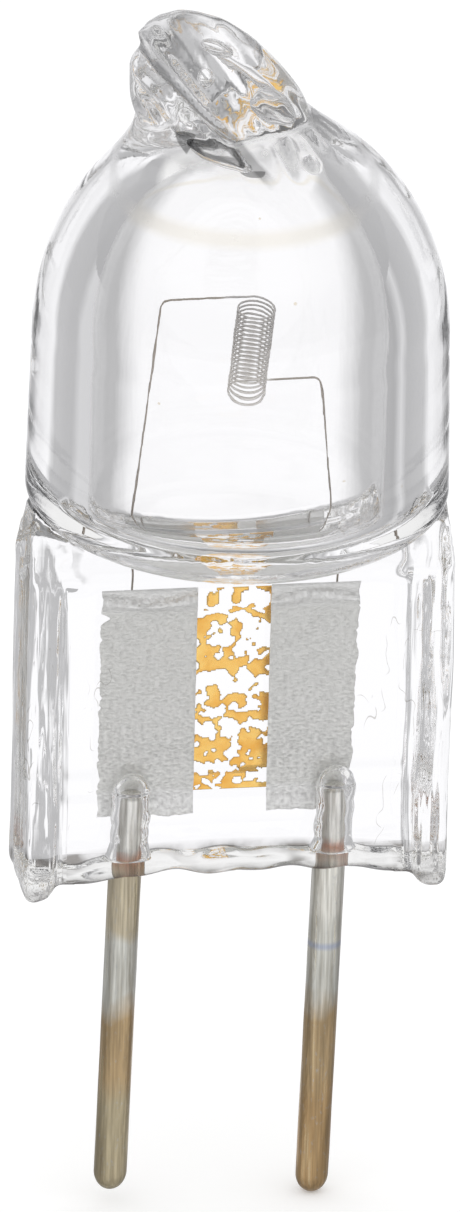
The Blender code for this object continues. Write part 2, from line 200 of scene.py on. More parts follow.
# Air round the pins inside the glass, in millimetres, with its waves across and along a pin
VOID_GAP = 0.03
VOID_FOOT = 0.12
VOID_BUBBLE = 0.42
VOID_FLARE = 0.3
VOID_FLARE_HEIGHTS = (0.5, 0.1)
VOID_WOBBLE = 0.2
VOID_WAVES = (3, 2.6)
VOID_STEPS = 24
VOID_BUBBLE_STEPS = 12
VOID_SEGMENTS = 40

# Filament, in millimetres
WIRE_RADIUS = 0.02
COIL_RADIUS = 0.36
COIL_PITCH = 0.094
COIL_TURNS = 20
COIL_LEAN = math.radians(11.0)
COIL_TILT = math.radians(3.0)
SEAL_GAP = 0.02
LEG_PLANE = FOIL_BOXES["left_foil"][0].y - SEAL_GAP - WIRE_RADIUS
COIL_CENTRE = Vector((0.27, LEG_PLANE, EQUATOR - 0.5))
LEG_REACH = 2.0
LEFT_BEND_INSET = 0.5
RIGHT_BEND_INSET = 0.16
LEG_CORNER = CAVITY_FLOOR + 0.3 * CAVITY_BOWL
LEG_BEND_RADIUS = 0.2
LEG_BEHIND = 0.09
LEG_SLIP = 0.3
POINTS_PER_TURN = 28
BEND_STEPS = 8
BEND_SHARE = 0.45
WIRE_BEVEL = 3

# Foils, in millimetres, with places along them from 0 at the foot to 1 at the top
FOIL_COLUMNS = 44
FOIL_ROWS = 120
FOIL_HALF_THICKNESS = 0.008
FOIL_SHARP_ANGLE = math.radians(50.0)
RAGGED_EDGE = 0.05
LEFT_NICK = (0.16, 0.88, 0.02)
RIGHT_INSET = 0.13
RIGHT_TAPER = 0.12
CLEAN_EDGE = 0.02
TORN_END = 0.05
TORN_FALLOFF = 8
FOLD_DEPTH = 0.03
FOLD_PLACE = 0.95
FOLD_LENGTH = 0.018
FOLD_WANDER = (0.01, 3)
WRINKLE_LOSS = 0.6
# Unevenness of the foils: size, and waves along the three numbers of a place
RAGGED_BROAD = (0.06, (3.0, 0.0, 14.0))
RAGGED_FINE = (0.07, (7.0, 2.0, 44.0))
CLEAN_WAVE = (0.008, (5.0, 4.0, 9.0))
TORN_BROAD = (0.06, (2.3, 9.0, 1.5))
TORN_FINE = (0.05, (11.0, 6.0, 4.5))
WRINKLE = (0.006, (5.0, 0.0, 11.0))
BUCKLE = (0.02, (0.9, 3.0, 1.1))

# Pins, in millimetres
PIN_NOSE = 0.38
PIN_CROWN = 0.13
PIN_STEP = 0.05
PIN_SHANK_MARGIN = 0.15
PIN_WEAR = 0.012
PIN_UNEVEN = 0.016
PIN_WAVES = (5, 1.1)
PIN_NOSE_STEPS = 14
PIN_CROWN_STEPS = 6
PIN_SEGMENTS = 56

# Worn stamp on the back of the pinch, in millimetres, with its cover and its losses
INK_LEFT = -0.9
INK_RIGHT = 1.0
INK_BOTTOM = 1.1
INK_TOP = 5.45
INK_CELL = 0.024
INK_SINK = 0.01
INK_THICKNESS = 0.02
INK_BARS = 5
INK_BAR_SHIFT = 0.3
INK_BAR_COVER = 0.7
INK_EDGE_COVER = 2.4
INK_TURN = 0.45
INK_WEAR = 1.2
INK_PATTERNS = ((1.0, (4.1, 1.37, 4.1)), (0.6, (8.3, 5.61, 8.3)))
INK_LOSS = 0.28
INK_GAP_PLACE = 0.55
INK_GAP_HALF = 0.2
INK_GAP_LOSS = 0.25

# Noise patterns of the materials: stretch in waves per millimetre, scale and detail
GLASS_DUST = ((1.0, 1.0, 1.0), 3.0, 6.0)
GLASS_LINES = ((3.0, 3.0, 0.25), 1.4, 3.0)
RIB_LINES = ((5.0, 5.0, 0.6), 1.0, 1.5)
FOOT_WAVES = ((0.9, 2.2, 2.6), 1.0, 0.5)
GROOVE_SHADE_EDGE = ((1.0, 1.0, 1.0), 1.6, 4.0)
PINCH_SHADE_PATCHES = ((1.2, 1.2, 1.2), 1.3, 3.0)
HAIRLINE_PATHS = ((0.9, 0.9, 0.5), 1.3, 2.0)
HAIRLINE_PLACES = ((1.0, 1.0, 1.0), 1.1, 2.0)
WIRE_STAIN = ((2.0, 2.0, 2.0), 3.0, 4.0)
FOIL_STREAKS = ((9.0, 1.0, 1.5), 2.0, 4.0)
FOIL_SPARKLE = ((7.0, 7.0, 12.0), 1.6, 2.0)
PIN_DRIFT = ((1.2, 1.2, 0.9), 1.0, 3.0)
PIN_STREAKS = ((7.0, 7.0, 0.35), 1.6, 6.0)
PIN_PITS = ((4.0, 4.0, 2.0), 3.5, 6.0)
PIN_SCRATCHES = ((22.0, 22.0, 0.9), 1.0, 4.0)
INK_PATCHES = ((1.0, 1.0, 1.0), 2.6, 5.0)
MIDDLE_OF_NOISE = (0.3, 0.7)

# Glass: colours, and the places of its tints in millimetres
QUARTZ_IOR = 1.458
QUARTZ = (0.998, 0.996, 0.994)
SPECK_TINT = (0.70, 0.60, 0.44)
SPECK_SCALE = 0.9
SPECK_RADII = (0.022, 0.034)
SPECK_RARITY = 0.55
COLLAR_TINT = (0.95, 0.90, 0.79)
COLLAR_RADIUS = 2.0
COLLAR_HEIGHT = 13.3
COLLAR_HALF = 0.24
COLLAR_ROUGHNESS = 0.25
# Painted shade: grey of the glass in the crease round the tip's drop and round the air lens, with the
# crease's strength, half width, lift, wander and end
PAINTED_SHADE_TINT = (0.16, 0.16, 0.16)
GROOVE_SHADE_STRENGTH = 0.85
GROOVE_SHADE_HALF = 0.13
GROOVE_SHADE_LIFT = 0.1
GROOVE_SHADE_WANDER = 0.12
GROOVE_SHADE_END = (0.9, 1.2)
# Painted shade round the rim of the air lens: the rim's range, its depth and its outer limit
LENS_SHADE_RIM = (0.5, 0.62)
LENS_DEPTH = 1.5 * LENS_HALF[1]
LENS_OUTSIDE = 1.4
# Painted shade along the lower edges of the pinch: its grey, height, depths and patchiness
PINCH_SHADE_TINT = (0.10, 0.09, 0.08)
PINCH_SHADE_HEIGHT = 0.2
PINCH_SHADE_DEPTHS = (BAND_HALF - 0.36, BAND_HALF - 0.16)
PINCH_SHADE_PATCH_RANGE = (0.35, 0.6)
PINCH_SHADE_LEAST = 0.35
HAIRLINE_TINT = (0.45, 0.43, 0.40)
HAIRLINE_WIDTHS = (0.004, 0.002)
HAIRLINE_PLACE_RANGE = (0.56, 0.6)
HAIRLINE_ASIDE = (2.3, 2.5)
DUST_RANGE = (0.62, 0.8)
DUST_ROUGHNESS = 0.12
FROST_RADIUS = 1.4
FROST_EDGE = 0.3
FROST_BOTTOM = 13.4
FROST_TOP = 15.0
FROST_ROUGHNESS = 0.35
LINE_RELIEF = 0.0012
CREASE_RELIEF = 0.06
RIB_LINE_ACROSS = (PINCH_HALF - 0.85, PINCH_HALF - 0.7)
RIB_LINE_HEIGHTS = (RIB_TOP, RIB_TOP - 0.6)
FOOT_WAVE_HEIGHTS = (0.5, 0.15)

# Tungsten: tones of the coil's foot, its top, the legs and the stains
COIL_FOOT_TONE = (0.92, 0.90, 0.87)
COIL_TOP_TONE = (0.55, 0.55, 0.56)
COIL_TONE_HEIGHTS = (EQUATOR - 1.6, EQUATOR + 0.6)
LEG_TONE = (0.36, 0.32, 0.28)
LEG_ASIDE = (0.45, 0.6)
STAIN_TONE = (0.60, 0.52, 0.44)
STAIN_STRENGTH = 0.4
WIRE_ROUGHNESS = (0.3, 0.5)

# Molybdenum: tones of the foils' ends and middles, and their grain
FOIL_LENGTH = 4.8
FOIL_PALE = (0.88, 0.88, 0.86)
FOIL_GREY = (0.78, 0.78, 0.75)
FOIL_BANDS = (
    (0.0, FOIL_PALE),
    (0.1, FOIL_PALE),
    (0.13, FOIL_GREY),
    (0.9, FOIL_GREY),
    (0.94, FOIL_PALE),
    (1.0, FOIL_PALE),
)
FOIL_GRAIN = (-0.03, 0.03)
FOIL_GLINT = (-0.08, 0.1)
FOIL_CRINKLED = (0.65, 0.3)
FOIL_ROUGH_RANGE = (0.35, 0.7)
FOIL_ROUGHNESS = (0.5, 0.32)
FOIL_BUMP = (0.5, 0.00002)

# Plating of the pins: tones, those of each pin's end and neck, and the strength of its heat ring
SILVER = (0.60, 0.60, 0.55)
TAN = (0.44, 0.32, 0.18)
COPPER = (0.60, 0.32, 0.22)
SEATED = (0.80, 0.79, 0.74)
SEATED_END = (0.86, 0.85, 0.81)
PIN_TONES = {
    "left_pin": ((0.42, 0.36, 0.24), (0.52, 0.46, 0.34), 0.0),
    "right_pin": ((0.42, 0.28, 0.14), (0.74, 0.73, 0.67), 0.75),
}
BAND_DRIFT = 1.1
RING_TINT = (0.36, 0.40, 0.50)
RING_HEIGHT = -1.95
RING_HALVES = (0.1, 0.02)
SCRATCH_SHADE = (0.78, 1.2)
PIN_ROUGHNESS = (0.24, 0.46)
PIN_BUMP = (0.35, 0.00003)
# Wear of the plating, worn, bright and blued: noise pattern, its range, strength and tint
PIN_TINTS = (
    (PIN_STREAKS, (0.45, 0.75), 0.6, (0.20, 0.16, 0.10)),
    (PIN_STREAKS, (0.42, 0.25), 0.6, (0.55, 0.47, 0.30)),
    (PIN_PITS, (0.6, 0.75), 0.4, (0.42, 0.44, 0.46)),
)

# Ink: a brown edge and two oranges
INK_EDGE_TINT = (0.05, 0.3, 0.5, 1.0)
INK_BANDS = ((0.3, (1.0, 0.50, 0.07)), (0.7, (1.0, 0.68, 0.2)))
INK_ROUGHNESS = (0.34, 0.2)

# Camera, from the photograph's 460 x 1212 frame, in millimetres
IMAGE_HEIGHT = 1212
PIXELS_PER_MM = 52.0
CAMERA_DISTANCE = 300.0
CAMERA_ELEVATION = math.radians(22.0)
CAMERA_YAW = math.radians(10.0)
CAMERA_ROLL = math.radians(1.45)
LOOK_AT = Vector((-0.075, 0.0, 5.15))
CLIP_METRES = (0.01, 10.0)

# Floor, in millimetres, with its paper and its glow for the camera
STAGE_RADIUS = 600.0
STAGE_SEGMENTS = 96
FLOOR_PAPER = (0.9, 0.9, 0.9, 1.0)
FLOOR_LIFT = 0.2
CARD_BLUE = 1.02
# Sectors of the floor as metal and glass see them: heading in degrees and brightness
BACKDROP = (
    (-180, 1.0),
    (-130, 1.0),
    (-85, 0.5),
    (-64, 0.42),
    (-58, 0.66),
    (-46, 0.68),
    (-38, 0.48),
    (-14, 0.50),
    (-5, 1.0),
    (24, 1.0),
    (33, 0.52),
    (56, 0.46),
    (62, 0.70),
    (70, 0.42),
    (90, 0.5),
    (130, 1.0),
    (180, 1.0),
)
# Painted shadow on the floor's glow near the pins, as seen through the glass: two distances from the origin,
# and the light at the first
FLOOR_PAINTED_SHADOW = (8.0, 13.0, 0.3)
# Sky as metal and glass see it, from the horizon up
SKY_LOW = (0.45, 0.45, 0.46)
SKY_HIGH = (0.9, 0.9, 0.9)
SKY_BANDS = ((0.0, SKY_LOW), (0.25, SKY_LOW), (0.45, SKY_HIGH), (1.0, SKY_HIGH))
GLASS_BOUNCES = 14


def link(name, data):
    obj = bpy.data.objects.new(name, data)
    bpy.context.scene.collection.objects.link(obj)
    return obj


def mesh_from(name, bm):
    """A smooth mesh in metres from a bmesh in millimetres."""
    bmesh.ops.scale(bm, vec=(MM,) * 3, verts=bm.verts)
    mesh = bpy.data.meshes.new(name)
    bm.to_mesh(mesh)
    bm.free()
    mesh.shade_smooth()
    return mesh


def ring_loft(bm, rings):
    """Quads between successive rings of points, with a fan at each end."""
    rows = [[bm.verts.new(point) for point in ring] for ring in rings]
    for low, high in zip(rows, rows[1:]):
        for a, b, c, d in zip(low, low[1:] + low[:1], high[1:] + high[:1], high):
            bm.faces.new((a, b, c, d))
    for row, flip in ((rows[0], True), (rows[-1], False)):
        middle = bm.verts.new(sum((v.co for v in row), Vector()) / len(row))
        for a, b in zip(row, row[1:] + row[:1]):
            bm.faces.new((b, a, middle) if flip else (a, b, middle))


def circle(radius, height, segments, centre=(0.0, 0.0)):
    x, y = centre
    angles = [math.tau * step / segments for step in range(segments)]
    return [Vector((x + radius * math.cos(a), y + radius * math.sin(a), height)) for a in angles]


def quarter(radius, level, rise, steps):
    """Radius and height along a quarter ellipse that rises from a level, from near its pole to that level."""
    angles = [math.pi / 2 * (step + 0.5) / (steps + 0.5) for step in range(steps + 1)]
    return [(radius * math.sin(a), level + rise * math.cos(a)) for a in angles]


def turned(bm, profile, segments):
    """A solid of revolution from a profile of radius and height, bottom to top."""
    ring_loft(bm, [circle(radius, height, segments) for radius, height in profile])


def bar(bm, size, centre, rounding):
    shape = Matrix.Translation(centre) @ Matrix.Diagonal((*size, 1.0))
    made = bmesh.ops.create_cube(bm, size=1.0, matrix=shape)
    edges = list({edge for vert in made["verts"] for edge in vert.link_edges})
    bmesh.ops.bevel(bm, geom=edges, offset=rounding, segments=ROUNDING_STEPS, profile=0.5, affect="EDGES")


def drop(bm, centre, half, slant):
    """A flattened drop, high on its -X side."""
    around, down = DROP_SEGMENTS
    shape = Matrix.Translation(centre) @ Matrix.Rotation(slant, 4, "Y") @ Matrix.Diagonal((*half, 1.0))
    bmesh.ops.create_uvsphere(bm, u_segments=around, v_segments=down, radius=1.0, matrix=shape)


def absorb(bm, other):
    """Takes over another bmesh's shells."""
    copy = bpy.data.meshes.new("shells")
    other.to_mesh(copy)
    other.free()
    bm.from_mesh(copy)
    bpy.data.meshes.remove(copy)


def hull(bm, points):
    made = bmesh.new()
    for point in points:
        made.verts.new(point)
    bmesh.ops.convex_hull(made, input=made.verts)
    absorb(bm, made)


def remeshed(bm, voxel, shape):
    """One closed skin round all the closed shells of a bmesh, with its points moved by a function."""
    mesh = bpy.data.meshes.new("shells")
    bmesh.ops.recalc_face_normals(bm, faces=bm.faces)
    bm.to_mesh(mesh)
    bm.free()
    obj = link("shells", mesh)
    skin = obj.modifiers.new("skin", "REMESH")
    skin.mode = "VOXEL"
    skin.voxel_size = voxel
    soft = obj.modifiers.new("soft", "SMOOTH")
    soft.factor = 0.5
    soft.iterations = SKIN_SMOOTHING
    result = bpy.data.meshes.new_from_object(obj.evaluated_get(bpy.context.evaluated_depsgraph_get()))
    bpy.data.objects.remove(obj)
    bpy.data.meshes.remove(mesh)
    points = np.empty(len(result.vertices) * 3, dtype=np.float32)
    result.vertices.foreach_get("co", points)
    moved = shape(points.reshape(-1, 3).astype(float))
    result.vertices.foreach_set("co", moved.astype(np.float32).ravel())
    made = bmesh.new()
    made.from_mesh(result)
    bpy.data.meshes.remove(result)
    return made


def ripple(across, along):
    """Uneven waves between -1 and 1, drawn out in one direction."""
    wave, bend, bend_wave = BENT_WAVE
    total = np.sin(wave * across + bend * np.sin(bend_wave * along))
    for wave_across, wave_along, phase in STRAIGHT_WAVES:
        total = total + np.sin(wave_across * across + wave_along * along + phase)
    return total / (1 + len(STRAIGHT_WAVES))


def fade(value, start, end):
    return np.clip((value - start) / (end - start), 0.0, 1.0)


def settle(points, target, reach):
    """Moves points that lie close to a target surface onto it, fading out with their distance."""
    gap = np.linalg.norm(target - points, axis=1)
    return points + (target - points) * fade(gap, *reach)[:, None]


def on_capsule(points, radius, rise, depth, spring):
    """The points carried straight onto a tube with an elliptical dome above the equator and a bowl below."""
    x, y, height = points.T
    level = np.where(height > EQUATOR, height - EQUATOR, np.minimum(height - spring, 0.0))
    reach = np.where(height > EQUATOR, rise, depth)
    size = np.sqrt((x**2 + y**2) / radius**2 + (level / reach) ** 2)
    size = np.maximum(size, LEAST_SIZE)
    return np.stack([x / size, y / size, height - level + level / size], axis=1)


def on_drop(points, centre, half, slant):
    """The points carried straight onto a slanted drop, away from its middle."""
    turn = np.array(Matrix.Rotation(slant, 3, "Y"))
    middle = np.array(centre)
    local = (points - middle) @ turn
    size = np.maximum(np.linalg.norm(local / np.array(half), axis=1), LEAST_SIZE)
    return middle + (local / size[:, None]) @ turn.T


def on_cap(points):
    return on_drop(points, CAP_CENTRE, CAP_HALF, CAP_SLANT)


def gable_height(half_depth):
    """Height of the shoulders' slopes at a distance from the pinch's middle plane."""
    return EAVES + (RIDGE - EAVES) * (RIB_HALF - half_depth) / (RIB_HALF - RIDGE_HALF)


def bulb_shell(bm):
    dome = quarter(BULB_RADIUS, EQUATOR, DOME_RISE, DOME_STEPS)
    bowl = quarter(BULB_RADIUS + BULB_FLARE, SPRING, -BOWL_DEPTH, BOWL_STEPS)
    turned(bm, bowl + dome[::-1], BULB_SEGMENTS)


def pinch_shells(bm):
    """Web with pressed pads, side ribs, and gables that lead the bulb's sides into the ribs."""
    section = [
        (BAND_HALF, 0.0),
        (BAND_HALF, PAD_BOTTOM - STEP_SLOPE),
        (PAD_HALF, PAD_BOTTOM),
        (PAD_HALF, PAD_TOP),
        (BAND_HALF, PAD_TOP + STEP_SLOPE),
        (BAND_HALF, gable_height(BAND_HALF)),
        (RIDGE_HALF, gable_height(RIDGE_HALF)),
    ]
    loop = section + [(-y, z) for y, z in section[::-1]]
    reach = PINCH_HALF - RIB_WIDTH / 2
    rings = []
    for x in np.linspace(-reach, reach, WEB_RINGS):
        foot = -ARCH_RISE * (x / PINCH_HALF) ** 2
        rings.append([Vector((x, y, z if z else foot)) for y, z in loop])
    ring_loft(bm, rings)
    corners = (
        (PINCH_HALF - RIB_ROUNDING, RIB_HALF - RIB_ROUNDING, SHOULDER_FOOT),
        (SHOULDER_END, PAD_HALF, SHOULDER_FOOT),
        (SHOULDER_END, PAD_HALF, EAVES),
        (SHOULDER_INSIDE, RIB_HALF, EAVES),
        (PINCH_HALF, RIB_HALF, EAVES),
        (PINCH_HALF - RIB_ROUNDING, RIDGE_HALF, RIDGE),
        (CAVITY_RADIUS, RIDGE_HALF, RIDGE),
        (BULB_RADIUS, RIDGE_HALF, SPRING),
    )
    for sign in (-1, 1):
        centre = (sign * reach, 0.0, (RIB_TOP + RIB_FOOT) / 2)
        bar(bm, (RIB_WIDTH, 2 * RIB_HALF, RIB_TOP - RIB_FOOT), centre, RIB_ROUNDING)
        hull(bm, [(sign * x, end * y, z) for x, y, z in corners for end in (-1, 1)])


def round_tip(angle, away):
    """X and Y at a heading and distance from the tip's axis."""
    return TIP_AXIS + away * np.cos(angle), away * np.sin(angle)


def dome_at(angle, away):
    """Height of the dome at a heading and distance from the tip's axis."""
    x, y = round_tip(angle, away)
    return EQUATOR + DOME_RISE * np.sqrt(1 - (x**2 + y**2) / BULB_RADIUS**2)


def lobes(angle, waves):
    return sum(size * np.sin(count * angle + phase) for size, count, phase in waves)


def foot_share(angle):
    return np.maximum(0.0, np.cos(angle - FOOT_SIDE)) ** FOOT_SHARPNESS


def skirt_reach(angle):
    """How far the skirt spreads from the tip's axis at a heading, furthest at its front right."""
    return SKIRT_REACH + lobes(angle, SKIRT_LOBES) + FOOT_REACH * foot_share(angle)


def column_top(x):
    """Height of the slanted end of the tip's column."""
    return COLUMN_TOP.z - (x - COLUMN_TOP.x) * math.tan(COLUMN_SLANT)


def skirt_height(angle, share):
    """Height of the hollow curve of melted glass, from the dome at share 0 to the tip's column at 1."""
    reach = skirt_reach(angle)
    edge = dome_at(angle, reach)
    slope = (edge - dome_at(angle, reach + SKIRT_EDGE)) / SKIRT_EDGE
    corner = edge + slope * (reach - COLUMN_RADIUS)
    column_edge = column_top(round_tip(angle, COLUMN_RADIUS)[0])
    top = corner + np.clip(column_edge - corner, SKIRT_EDGE, SKIRT_RISE)
    crumple = CRUMPLE_MEAN + lobes(angle, FOOT_CRUMPLES)
    relief = FOOT_RELIEF * foot_share(angle) * crumple * np.sin(math.pi * share) ** 2
    return (1 - share) ** 2 * edge + 2 * share * (1 - share) * corner + share**2 * top + relief


def skirt(bm):
    angles = np.arange(SKIRT_SEGMENTS) * math.tau / SKIRT_SEGMENTS
    rings = [circle(COLUMN_RADIUS, EQUATOR, SKIRT_SEGMENTS, (TIP_AXIS, 0.0))]
    for share in np.linspace(0.0, 1.0, SKIRT_STEPS + 1):
        away = COLUMN_RADIUS + (skirt_reach(angles) - COLUMN_RADIUS) * (1 - share) ** 2
        x, y = round_tip(angles, away)
        rings.append([Vector(point) for point in zip(x, y, skirt_height(angles, share))])
    ring_loft(bm, rings)


def on_skirt(points):
    """The points' heights on the skirt, and how much they should be moved there."""
    x, y, z = points.T
    angle = np.arctan2(y, x - TIP_AXIS)
    away = np.hypot(x - TIP_AXIS, y)
    spread = np.clip((away - COLUMN_RADIUS) / (skirt_reach(angle) - COLUMN_RADIUS), 0.0, 1.0)
    share = 1 - np.sqrt(spread)
    height = skirt_height(angle, share)
    near = fade(np.abs(height - z), *SKIRT_SETTLE) * fade(share, *SKIRT_SHARES) * (spread < 1)
    return height, near


def tip_shells(bm):
    """Slanted drop on a column, with a skirt of melted glass and its folds."""
    drop(bm, CAP_CENTRE, CAP_HALF, CAP_SLANT)
    base = circle(COLUMN_RADIUS, EQUATOR, COLUMN_SEGMENTS, (TIP_AXIS, 0.0))
    top = [Vector((point.x, point.y, column_top(point.x))) for point in base]
    ring_loft(bm, [base, top])
    skirt(bm)
    for heading, away, size in MELT_FOLDS:
        angle = math.radians(heading)
        centre = Vector((*round_tip(angle, away), dome_at(angle, away)))
        drop(bm, centre, [size * share for share in FOLD_SHAPE], FOLD_SLANT * math.cos(angle))


def carve_groove(points):
    """Crease round the drop, where the end of the melted tube folded over."""
    turn = np.array(Matrix.Rotation(GROOVE_SLANT, 3, "Y"))
    level = ((points - np.array(GROOVE_CENTRE)) @ turn)[:, 2]
    reach = np.where(level > 0, GROOVE_ABOVE, GROOVE_BELOW)
    on_surface = fade(np.linalg.norm(on_cap(points) - points, axis=1), *GROOVE_SETTLE)
    depth = GROOVE_DEPTH * np.clip(1 - np.abs(level) / reach, 0.0, 1.0) * on_surface
    inward = np.array(CAP_CENTRE) - points
    return points + inward * (depth / np.linalg.norm(inward, axis=1))[:, None]


def flatten_pads(points):
    """Draws the skin of the pressed pads onto their two planes."""
    x, y, z = points.T
    pad = points.copy()
    pad[:, 1] = np.sign(y) * PAD_HALF
    inside = (np.abs(x) < PAD_REACH) & (z > PAD_BOTTOM + PAD_MARGIN) & (z < PAD_TOP - PAD_MARGIN)
    points[inside] = settle(points, pad, PAD_SETTLE)[inside]


def ripple_pinch(points):
    """Waves in the ribs and the foot, and a bulge of the foot between the ribs."""
    x, y, z = points.T
    rib = fade(np.abs(x), *RIPPLE_ACROSS) * fade(z, *RIPPLE_DOWN)
    points[:, 1] += np.sign(y) * RIB_RIPPLE * rib * ripple(x, z)
    side = ripple(RIB_SIDE_STRETCH * y, z + RIB_SIDE_SHIFT)
    points[:, 0] += np.sign(x) * RIB_SIDE_RIPPLE * rib * side
    foot = fade(z, *FOOT_HEIGHTS)
    points[:, 2] += FOOT_RIPPLE * foot * ripple(FOOT_STRETCH[0] * x, FOOT_STRETCH[1] * y)
    points[:, 2] -= FOOT_BULGE * foot * (1 - rib) * fade(np.abs(y), BAND_HALF, 0.0)


def ripple_tip(points):
    near_tip = fade(points[:, 2], *TIP_WAVE_HEIGHTS)
    for axis, size, across, along, shift in TIP_WAVES:
        points[:, axis] += size * near_tip * ripple(points @ across, points @ along + shift)


def shape_glass(points):
    """True bulb, tip and pad surfaces, rippled ribs, an uneven foot and a hand-melted tip."""
    width = BULB_RADIUS + BULB_FLARE * fade(points[:, 2], EQUATOR, SPRING)
    height, near = on_skirt(points)
    bulb = on_capsule(points, width, DOME_RISE, BOWL_DEPTH, SPRING)
    points = np.where((near > 0)[:, None], points, settle(points, bulb, BULB_SETTLE))
    points[:, 2] += (height - points[:, 2]) * near
    points = carve_groove(settle(points, on_cap(points), CAP_SETTLE))
    flatten_pads(points)
    ripple_pinch(points)
    ripple_tip(points)
    return points


def funnel_lift(distance):
    """Rise of the cavity's roof into the exhaust tube, eased in from the funnel's rim to its port."""
    share = fade(np.asarray(distance), FUNNEL_RADIUS, PORT_RADIUS)
    return FUNNEL_RISE * share * share * (3 - 2 * share)


def cavity_shells():
    bm = bmesh.new()
    roof = quarter(CAVITY_RADIUS, EQUATOR, CAVITY_RISE, CAVITY_STEPS)
    dome = [(r, z + funnel_lift(r)) for r, z in roof]
    bowl = quarter(CAVITY_RADIUS, CAVITY_SPRING, -CAVITY_BOWL, BOWL_STEPS)
    turned(bm, bowl + dome[::-1], BULB_SEGMENTS)
    drop(bm, BORE_END, BORE_END_HALF, BORE_SLANT)
    return bm


def shape_cavity(points):
    """True cavity walls, and the bore's melted end."""
    lift = funnel_lift(np.hypot(points[:, 0], points[:, 1])) * (points[:, 2] > EQUATOR)
    level = points - lift[:, None] * np.array((0.0, 0.0, 1.0))
    target = on_capsule(level, CAVITY_RADIUS, CAVITY_RISE, CAVITY_BOWL, CAVITY_SPRING)
    target[:, 2] += lift
    points = settle(points, target, BULB_SETTLE)
    return settle(points, on_drop(points, BORE_END, BORE_END_HALF, BORE_SLANT), BULB_SETTLE)


def pin_axis(node):
    """A pin's radius, its axis at Z = 0 and its sideways lean, from its box."""
    low, high = PIN_BOXES[node]
    radius = (high.y - low.y) / 2
    lean = (high.x - low.x - 2 * radius) / (high.z - low.z)
    return radius, high.x - radius - lean * high.z, lean


def lean_pin(bm, node, waves, swell):
    """Swells an upright pin by noise and height, and moves it onto the pin's leaning axis."""
    _, foot, lean = pin_axis(node)
    across, along = waves
    for vert in bm.verts:
        x, y, z = vert.co
        share = swell(noise.noise(Vector((x * across + foot, y * across, z * along))), z)
        vert.co += Vector((x, y, 0.0)) * share
        vert.co.x += foot + lean * vert.co.z


def pin_void(node):
    """Air left round a pin inside the glass, with a bubble over its end."""
    wide = pin_axis(node)[0] + VOID_GAP
    top = PIN_BOXES[node][1].z

    def swell(wobble, height):
        return VOID_WOBBLE * abs(wobble) + VOID_FLARE * float(fade(height, *VOID_FLARE_HEIGHTS)) ** 2

    side = [(wide, z) for z in np.linspace(VOID_FOOT, top, VOID_STEPS)]
    end = quarter(wide, top, VOID_BUBBLE, VOID_BUBBLE_STEPS)
    bm = bmesh.new()
    turned(bm, side + end[::-1], VOID_SEGMENTS)
    lean_pin(bm, node, VOID_WAVES, swell)
    bmesh.ops.recalc_face_normals(bm, faces=bm.faces)
    return bm


def tip_bubble(centre, half, slant):
    """An uneven pocket of air in the tip."""
    bm = bmesh.new()
    drop(bm, (0.0, 0.0, 0.0), half, math.radians(slant))
    for vert in bm.verts:
        vert.co *= 1 + BUBBLE_WOBBLE * noise.noise(vert.co * BUBBLE_WAVES + Vector(centre))
        vert.co += Vector(centre)
    bmesh.ops.recalc_face_normals(bm, faces=bm.faces)
    return bm


def build_glass():
    shells = bmesh.new()
    bulb_shell(shells)
    pinch_shells(shells)
    tip_shells(shells)
    skin = remeshed(shells, GLASS_VOXEL, shape_glass)
    hollows = [remeshed(cavity_shells(), CAVITY_VOXEL, shape_cavity)]
    hollows += [pin_void(node) for node in PIN_BOXES]
    hollows += [tip_bubble(*place) for place in TIP_BUBBLES]
    for hollow in hollows:
        bmesh.ops.reverse_faces(hollow, faces=hollow.faces)
        absorb(skin, hollow)
    glass = link("quartz_glass", mesh_from("quartz_glass", skin))
    glass.data.materials.append(glass_material())
    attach(glass, "root")
    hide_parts("glass_envelope", "exhaust_tip")


def coil_points():
    """The coil from its top turn to its bottom turn."""
    length = COIL_PITCH * COIL_TURNS
    lean = Matrix.Rotation(COIL_TILT, 3, "Y") @ Matrix.Rotation(COIL_LEAN, 3, "X")
    points = []
    for step in range(COIL_TURNS * POINTS_PER_TURN + 1):
        angle = math.pi / 2 - math.tau * step / POINTS_PER_TURN
        height = length / 2 - COIL_PITCH * step / POINTS_PER_TURN
        turn = Vector((COIL_RADIUS * math.cos(angle), COIL_RADIUS * math.sin(angle), height))
        points.append(COIL_CENTRE + lean @ turn)
    return points


def rounded_path(corners):
    """The wire through its corner points, each inner corner rounded by a run of points."""
    path = [corners[0]]
    for before, corner, after in zip(corners, corners[1:], corners[2:]):
        shorter = min((before - corner).length, (after - corner).length)
        reach = min(LEG_BEND_RADIUS, BEND_SHARE * shorter)
        start = corner + (before - corner).normalized() * reach
        end = corner + (after - corner).normalized() * reach
        for step in range(BEND_STEPS + 1):
            share = step / BEND_STEPS
            path.append(start.lerp(corner, share).lerp(corner.lerp(end, share), share))
    return path + [corners[-1]]


